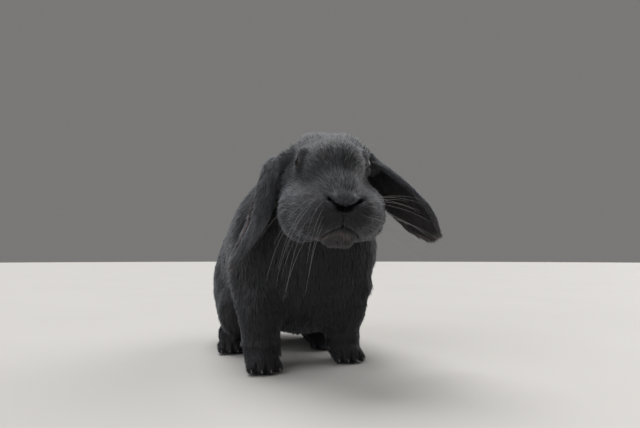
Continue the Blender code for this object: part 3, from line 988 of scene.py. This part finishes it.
ROOT_COLOUR = (0.0085, 0.0088, 0.0100)
TIP_COLOUR = (0.0205, 0.0212, 0.0235)
# Painted light: the colour of lit fur where light falls on the crown, cheeks, nose bridge, upper lip and ear
# backs
PAINTED_LIGHT_COLOUR = (0.128, 0.134, 0.150)
PALE_COLOUR = (0.130, 0.104, 0.094)
PINK_COLOUR = (0.20, 0.140, 0.130)
# The bare nose's own dark colour, also laid on the skin's creases as painted shade
BARE_AND_SHADE_COLOUR = (0.0045, 0.0035, 0.0038)
# Painted shade inside the ears' hollows
HOLLOW_SHADE_COLOUR = (0.016, 0.013, 0.013)


def coat_material():
    material, tree = new_material("coat")
    along = mapped(tree, attribute(tree, "along"), 0.05, 0.95, 0.0, 1.0)
    # Painted light on the tufts where light falls, strongest at their tips
    base = painted(tree, ROOT_COLOUR, [("painted_light", 0.45, PAINTED_LIGHT_COLOUR)])
    tip = painted(tree, TIP_COLOUR, [("painted_light", 1.0, PAINTED_LIGHT_COLOUR)])
    # The pale lips and pink ear rims are the coat's own colours; the ears' hollows get painted shade
    layers = [("pale", 0.8, PALE_COLOUR), ("hollow", 0.65, HOLLOW_SHADE_COLOUR), ("rim", 0.8, PINK_COLOUR)]
    colour = painted(tree, mixed(tree, along, base, tip), layers)
    tone = mapped(tree, attribute(tree, "tone"), 0, 1, 0.35, 1.65)
    shade = times(tree, tone, mapped(tree, noise_texture(tree, 45.0), 0.3, 0.7, 0.85, 1.15))
    # Painted shade: the tufts are darkened round the eyes, on the forehead and between the lips and toes
    shade = times(tree, shade, mapped(tree, attribute(tree, "painted_shade"), 0, 1, 1.0, 0.15))
    scaled = node(tree, "ShaderNodeVectorMath", operation="SCALE")
    tree.links.new(colour, scaled.inputs[0])
    tree.links.new(shade, scaled.inputs["Scale"])
    set_shader(tree, scaled.outputs[0], Roughness=0.62, Specular_IOR_Level=0.35, Sheen_Weight=0.30,
               Sheen_Roughness=0.45, Sheen_Tint=(0.72, 0.76, 0.84))
    return material


def skin_material():
    material, tree = new_material("skin")
    grain = noise_texture(tree, 260.0, 5.0)
    colour = mixed(tree, grain, (0.012, 0.0125, 0.0145), (0.024, 0.0255, 0.030))
    # Painted light where light falls, and painted shade in the ears' hollows and the creases, over the
    # skin's own pale lips and pink ear rims
    colour = painted(tree, colour, [
        ("painted_light", 0.45, PAINTED_LIGHT_COLOUR), ("pale", 0.8, PALE_COLOUR), ("hollow", 1.0, HOLLOW_SHADE_COLOUR),
        ("rim", 1.0, PINK_COLOUR), ("painted_shade", 1.0, BARE_AND_SHADE_COLOUR),
    ])
    colour = mixed(tree, mapped(tree, attribute(tree, "bare"), 0.0, 0.6, 0.0, 1.0), colour, BARE_AND_SHADE_COLOUR)
    bump = node(tree, "ShaderNodeBump", Strength=0.5, Distance=0.0006)
    tree.links.new(grain, bump.inputs["Height"])
    set_shader(tree, colour, Roughness=0.7, Specular_IOR_Level=0.15, Normal=bump.outputs[0])
    return material


def eye_material():
    material, tree = new_material("eye")
    off_axis = attribute(tree, "off_axis")
    iris = mixed(tree, noise_texture(tree, 900.0, 4.0), (0.006, 0.0035, 0.003), (0.014, 0.0075, 0.005))
    pupil = mapped(tree, off_axis, 0.36, 0.42, 1.0, 0.0)
    rim = mapped(tree, off_axis, 0.78, 0.90, 0.0, 1.0)
    colour = mixed(tree, pupil, iris, (0.002, 0.002, 0.002))
    colour = mixed(tree, rim, colour, (0.010, 0.007, 0.006))
    set_shader(tree, colour, Roughness=0.10, IOR=1.376, Specular_IOR_Level=0.35)
    return material


def claw_material():
    material, tree = new_material("claw")
    horn = mixed(tree, noise_texture(tree, 700.0, 4.0), (0.035, 0.030, 0.027), (0.080, 0.068, 0.058))
    tip = mapped(tree, attribute(tree, "along"), 0.35, 1.0, 0.0, 1.0)
    set_shader(tree, mixed(tree, tip, horn, (0.14, 0.122, 0.105)), Roughness=0.38)
    return material


def whisker_material():
    material, tree = new_material("whisker")
    colour = mixed(tree, attribute(tree, "along"), (0.18, 0.175, 0.175), (0.46, 0.45, 0.44))
    set_shader(tree, colour, Roughness=0.35)
    return material


# Eyes, claws and whiskers


def make_eye(side, material):
    """The eyeball, with a cornea that bulges a little along the way it looks."""
    centre, radius = eyeball(side)
    turn = turned_out(side, EYE_LOOK).to_track_quat("Z", "Y").to_matrix()
    ball = bmesh.new()
    bmesh.ops.create_uvsphere(ball, u_segments=56, v_segments=40, radius=radius)
    off_axis = []
    for vert in ball.verts:
        away = math.hypot(vert.co.x, vert.co.y) / radius
        front = vert.co.z > 0
        if front:
            vert.co.z += 0.0007 * max(0.0, 1 - (away / 0.75) ** 2)
        off_axis.append(away if front else 1.0)
        vert.co = turn @ vert.co + centre
    mesh = poured(ball, "eyeball_" + side)
    mesh.shade_smooth()
    set_attribute(mesh, "off_axis", np.array(off_axis))
    obj = placed(mesh, material)
    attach(obj, "root")
    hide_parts("eye_" + side)


def tube(path, radii, sides):
    """Vertices and faces of a closed tube along path, and how far along each vertex is."""
    points, faces, along = [], [], []
    for k, (centre, radius) in enumerate(zip(path, radii)):
        ahead = (path[min(k + 1, len(path) - 1)] - path[max(k - 1, 0)]).normalized()
        across = ahead.cross(Vector((0.3, 0.2, 1.0))).normalized()
        up = across.cross(ahead)
        for i in range(sides):
            angle = 2 * math.pi * i / sides
            points.append(centre + radius * (math.cos(angle) * across + math.sin(angle) * up))
            along.append(k / (len(path) - 1))
        if k:
            for i in range(sides):
                j = (i + 1) % sides
                a, b = (k - 1) * sides, k * sides
                faces.append((a + i, b + i, b + j, a + j))
    last = (len(path) - 1) * sides
    faces.append(tuple(range(sides)))
    faces.append(tuple(last + i for i in reversed(range(sides))))
    return points, faces, along


def object_from(name, parts, material):
    """One object of one or more tubes."""
    points, faces, along = [], [], []
    for more_points, more_faces, more_along in parts:
        start = len(points)
        points += more_points
        faces += [tuple(start + i for i in face) for face in more_faces]
        along += more_along
    mesh = bpy.data.meshes.new(name)
    mesh.from_pydata(points, [], faces)
    mesh.update()
    mesh.shade_smooth()
    set_attribute(mesh, "along", np.array(along))
    obj = placed(mesh, material)
    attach(obj, "root")
    return obj


def make_claw(node_name, material):
    """A curved, blunt claw from inside its toe to near the tip of the solid that it replaces."""
    low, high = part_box(node_name)
    middle_x = (low.x + high.x) / 2
    radius = (high.x - low.x) / 2
    root = Vector((middle_x, high.y, high.z - radius))
    tip = Vector((middle_x, low.y + 0.0016, low.z + 0.4 * radius))
    steps = 10
    path, radii = [], []
    for k in range(steps + 1):
        t = k / steps
        arch = 0.0012 * math.sin(math.pi * t)
        path.append(root.lerp(tip, t) + Vector((0, 0, arch)))
        radii.append(0.85 * radius * (1 - 0.75 * t**1.5))
    obj = object_from(node_name.replace("claw", "nail"), [tube(path, radii, 10)], material)
    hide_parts(node_name)


def hang(root, way, length, droop):
    """A hair's path: it sets out along way and bends under its own weight."""
    steps = 14
    path = [root]
    way = way.normalized()
    for _ in range(steps):
        path.append(path[-1] + way * (length / steps))
        way = (way + Vector((0, 0, -droop / steps))).normalized()
    return path


# Each side's whiskers: how they set out (out, ahead, up) and how fast they bend down
WHISKERS = {-1: (0.42, -0.40, -0.34, 1.15), 1: (0.90, -0.10, 0.20, 0.62)}
WHISKER_RADIUS = 0.00013
HAIR_RADIUS = 0.0001


def make_whiskers(skin, material):
    """Four rows beside the nose, three hairs over each eye and two on each cheek."""
    tree = BVHTree.FromObject(skin, bpy.context.evaluated_depsgraph_get())
    parts = []

    def whisker(place, way, length, droop, radius):
        start, _, _, _ = tree.find_nearest(HEAD_FRAME @ Vector(place))
        way = HEAD_AXES @ Vector(way).normalized()
        path = hang(start - way * 0.001, way, length, droop)
        radii = [radius * (1 - 0.8 * k / (len(path) - 1)) for k in range(len(path))]
        parts.append(tube(path, radii, 4))

    for sign, (out, ahead, up, droop) in WHISKERS.items():
        for row in range(4):
            for column in range(4 - row % 2):
                place = (sign * (0.0175 + 0.0048 * column), -0.066 + 0.006 * column, -0.005 - 0.0062 * row)
                jitter = random.normal(size=3)
                way = (
                    sign * (out + 0.10 * jitter[0] + 0.04 * column),
                    ahead + 0.12 * jitter[1] + 0.10 * column,
                    up - 0.16 * row + 0.09 * jitter[2],
                )
                length = 0.046 + 0.007 * row + 0.005 * column + 0.012 * random.random()
                whisker(place, way, length, droop * (0.8 + 0.4 * random.random()), WHISKER_RADIUS)
        for k in range(3):
            place = (sign * 0.030, -0.012 + 0.005 * k, 0.038)
            whisker(place, (sign * 0.7, -0.2 + 0.2 * k, 0.7), 0.026, 0.8, HAIR_RADIUS)
        for k in range(2):
            place = (sign * 0.040, -0.018, -0.004 - 0.005 * k)
            whisker(place, (sign * 0.8, -0.2, -0.2), 0.022, 0.8, HAIR_RADIUS)
    object_from("whiskers", parts, material)


# The studio

CAMERA_PLACE = (-0.1813, -0.6292, 0.130)
CAMERA_AZIMUTH = math.radians(18)  # from +Y towards +X
CAMERA_PITCH = math.radians(5.2)
CAMERA_LENS = 26.4  # mm, on a sensor 36 mm wide
FLOOR_RADIUS = 12


def aim(obj, target):
    obj.rotation_mode = "QUATERNION"
    obj.rotation_quaternion = (Vector(target) - obj.location).to_track_quat("-Z", "Y")


def make_camera():
    """Low on the floor in front of the rabbit and to its right, looking a little up."""
    camera = placed(bpy.data.cameras.new("camera"))
    camera.location = CAMERA_PLACE
    level = Vector((math.sin(CAMERA_AZIMUTH), math.cos(CAMERA_AZIMUTH), 0)) * math.cos(CAMERA_PITCH)
    aim(camera, camera.location + level + Vector((0, 0, math.sin(CAMERA_PITCH))))
    camera.data.sensor_width = 36
    camera.data.lens = CAMERA_LENS
    camera.data.clip_start = 0.01
    bpy.context.scene.camera = camera


def make_light(name, place, energy, spread, colour):
    """A broad, even light from a far window or softbox. spread, in degrees, is how wide it looks."""
    lamp = bpy.data.lights.new(name, "SUN")
    lamp.energy = energy
    lamp.angle = math.radians(spread)
    lamp.color = colour
    obj = placed(lamp)
    obj.location = place
    aim(obj, (0, 0, 0))


def make_studio():
    make_light("key", (-0.25, 0.80, 2.0), 2.8, 40, (1.0, 0.99, 0.98))
    make_light("front", (-1.4, -0.6, 0.8), 1.3, 55, (0.98, 0.98, 1.0))
    make_light("side", (1.3, 0.35, 0.8), 1.5, 55, (1.0, 0.98, 0.96))
    world = bpy.data.worlds.new("studio")
    world.use_nodes = True
    background = world.node_tree.nodes["Background"]
    background.inputs["Color"].default_value = (0.80, 0.79, 0.77, 1)
    background.inputs["Strength"].default_value = 0.24
    bpy.context.scene.world = world
    bpy.context.scene.view_settings.view_transform = "Standard"
    material, tree = new_material("floor")
    colour = mixed(tree, noise_texture(tree, 3.0), (0.45, 0.44, 0.425), (0.49, 0.48, 0.465))
    set_shader(tree, colour, Roughness=0.75)
    disc = bmesh.new()
    bmesh.ops.create_circle(disc, cap_ends=True, segments=96, radius=FLOOR_RADIUS)
    floor = placed(poured(disc, "floor"), material)


# Putting it together


def mouth_marks(local, front):
    """Where the lower lip and chin are pale, and where the upper lip's edge gets painted light."""
    x, _, z = local.T
    lower_lip = 0.9 * bell(near_path(local, LOWER_LIP), 0.0022)
    chin = 0.3 * bell(x, 0.015) * bell(z + 0.0415, 0.0060)
    edge = [(a, b + 0.0022) for a, b in (*LIPS[0][2::-1], *LIPS[1][:3])]
    return np.maximum(lower_lip, chin) * front, bell(near_path(local, edge), 0.0011) * front


def painted_shade_marks(points, coat, lips, front):
    """Where the coat and skin get painted shade: round the eyes, on the forehead, between the lips and toes,
    and mottled where the whiskers grow."""
    x, y, z = coat.local.T
    side = np.abs(x)
    socket = bell(coat.from_eye - 0.0094, 0.0042)
    forehead = below(side, 0.026, 0.010) * below(y, 0.004, 0.016) * above(z, 0.002, 0.014)
    philtrum = below(side, 0.020, 0.010) * below(z, -0.012, 0.004) * above(z, -0.027, 0.006)
    whisker_bed = below(coat.from_nose, 0.075, 0.02) * above(side, 0.014, 0.008) * below(z, 0.004, 0.010)
    mottle = above(noise(points, 0.0030, 90), 0.05, 0.40)
    on_head = (0.95 * socket, 0.36 * forehead + 0.18 * philtrum * front, 0.50 * whisker_bed * mottle)
    painted_shade = coat.head * np.maximum.reduce(on_head)
    return np.maximum.reduce([painted_shade, 0.9 * lips, 0.95 * toe_gaps(points)])


def skin_marks(points, coat, bare, lips):
    """How pale and how bare the skin and its coat are, where they get painted shade and painted light, and
    which are an ear's hollow (painted shade) and rim.
    """
    x, y, z = coat.local.T
    front = below(y, -0.045, 0.01)
    lower_lip, upper_lip = mouth_marks(coat.local, front)
    half_bridge = 0.0035 + 0.0125 * below(z, 0.020, 0.022)
    bridge = below(np.abs(x), half_bridge, 0.004) * below(y, -0.030, 0.015) * above(z, -0.008, 0.003)
    mounds = coat.cheek * above(z, -0.030, 0.030)
    ears = weight_of(coat.share, "ear_right") + 0.35 * weight_of(coat.share, "ear_left")
    # Painted light where light falls: the nose bridge, the cheeks' upper mounds, the upper lip's edge, the
    # crown and the ears' backs, the right ear's most
    painted_light = coat.head * (0.05 + 0.30 * bridge + 0.42 * mounds + 0.5 * upper_lip)
    painted_light = painted_light + 0.34 * coat.crown + ears * (1 - coat.hollow)
    return {
        "pale": coat.head * lower_lip,
        "bare": bare,
        "painted_shade": painted_shade_marks(points, coat, lips, front),
        "painted_light": np.clip(painted_light, 0, 1),
        "hollow": coat.hollow,
        "rim": coat.rim,
    }


def main():
    make_camera()
    make_studio()
    skin, bare, lips = make_skin()
    points, normals = vertex_array(skin.data), unit(normal_array(skin.data))
    coat = Coat(points, normals, region_weights(points, edge_array(skin.data), FLESH + EARS, 10))
    marks = skin_marks(points, coat, bare, lips)
    for name, values in marks.items():
        set_attribute(skin.data, name, values)
    skin.data.materials.append(skin_material())
    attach(skin, "root")
    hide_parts(*FLESH, *EARS)
    make_coat(skin, coat, np.maximum(bare, 0.6 * lips), marks, coat_material())
    eyes = eye_material()
    for side in SIDES:
        make_eye(side, eyes)
    horn = claw_material()
    for node_name in sorted(frame["nodes"]):
        if node_name.startswith("claw"):
            make_claw(node_name, horn)
    make_whiskers(skin, whisker_material())


main()
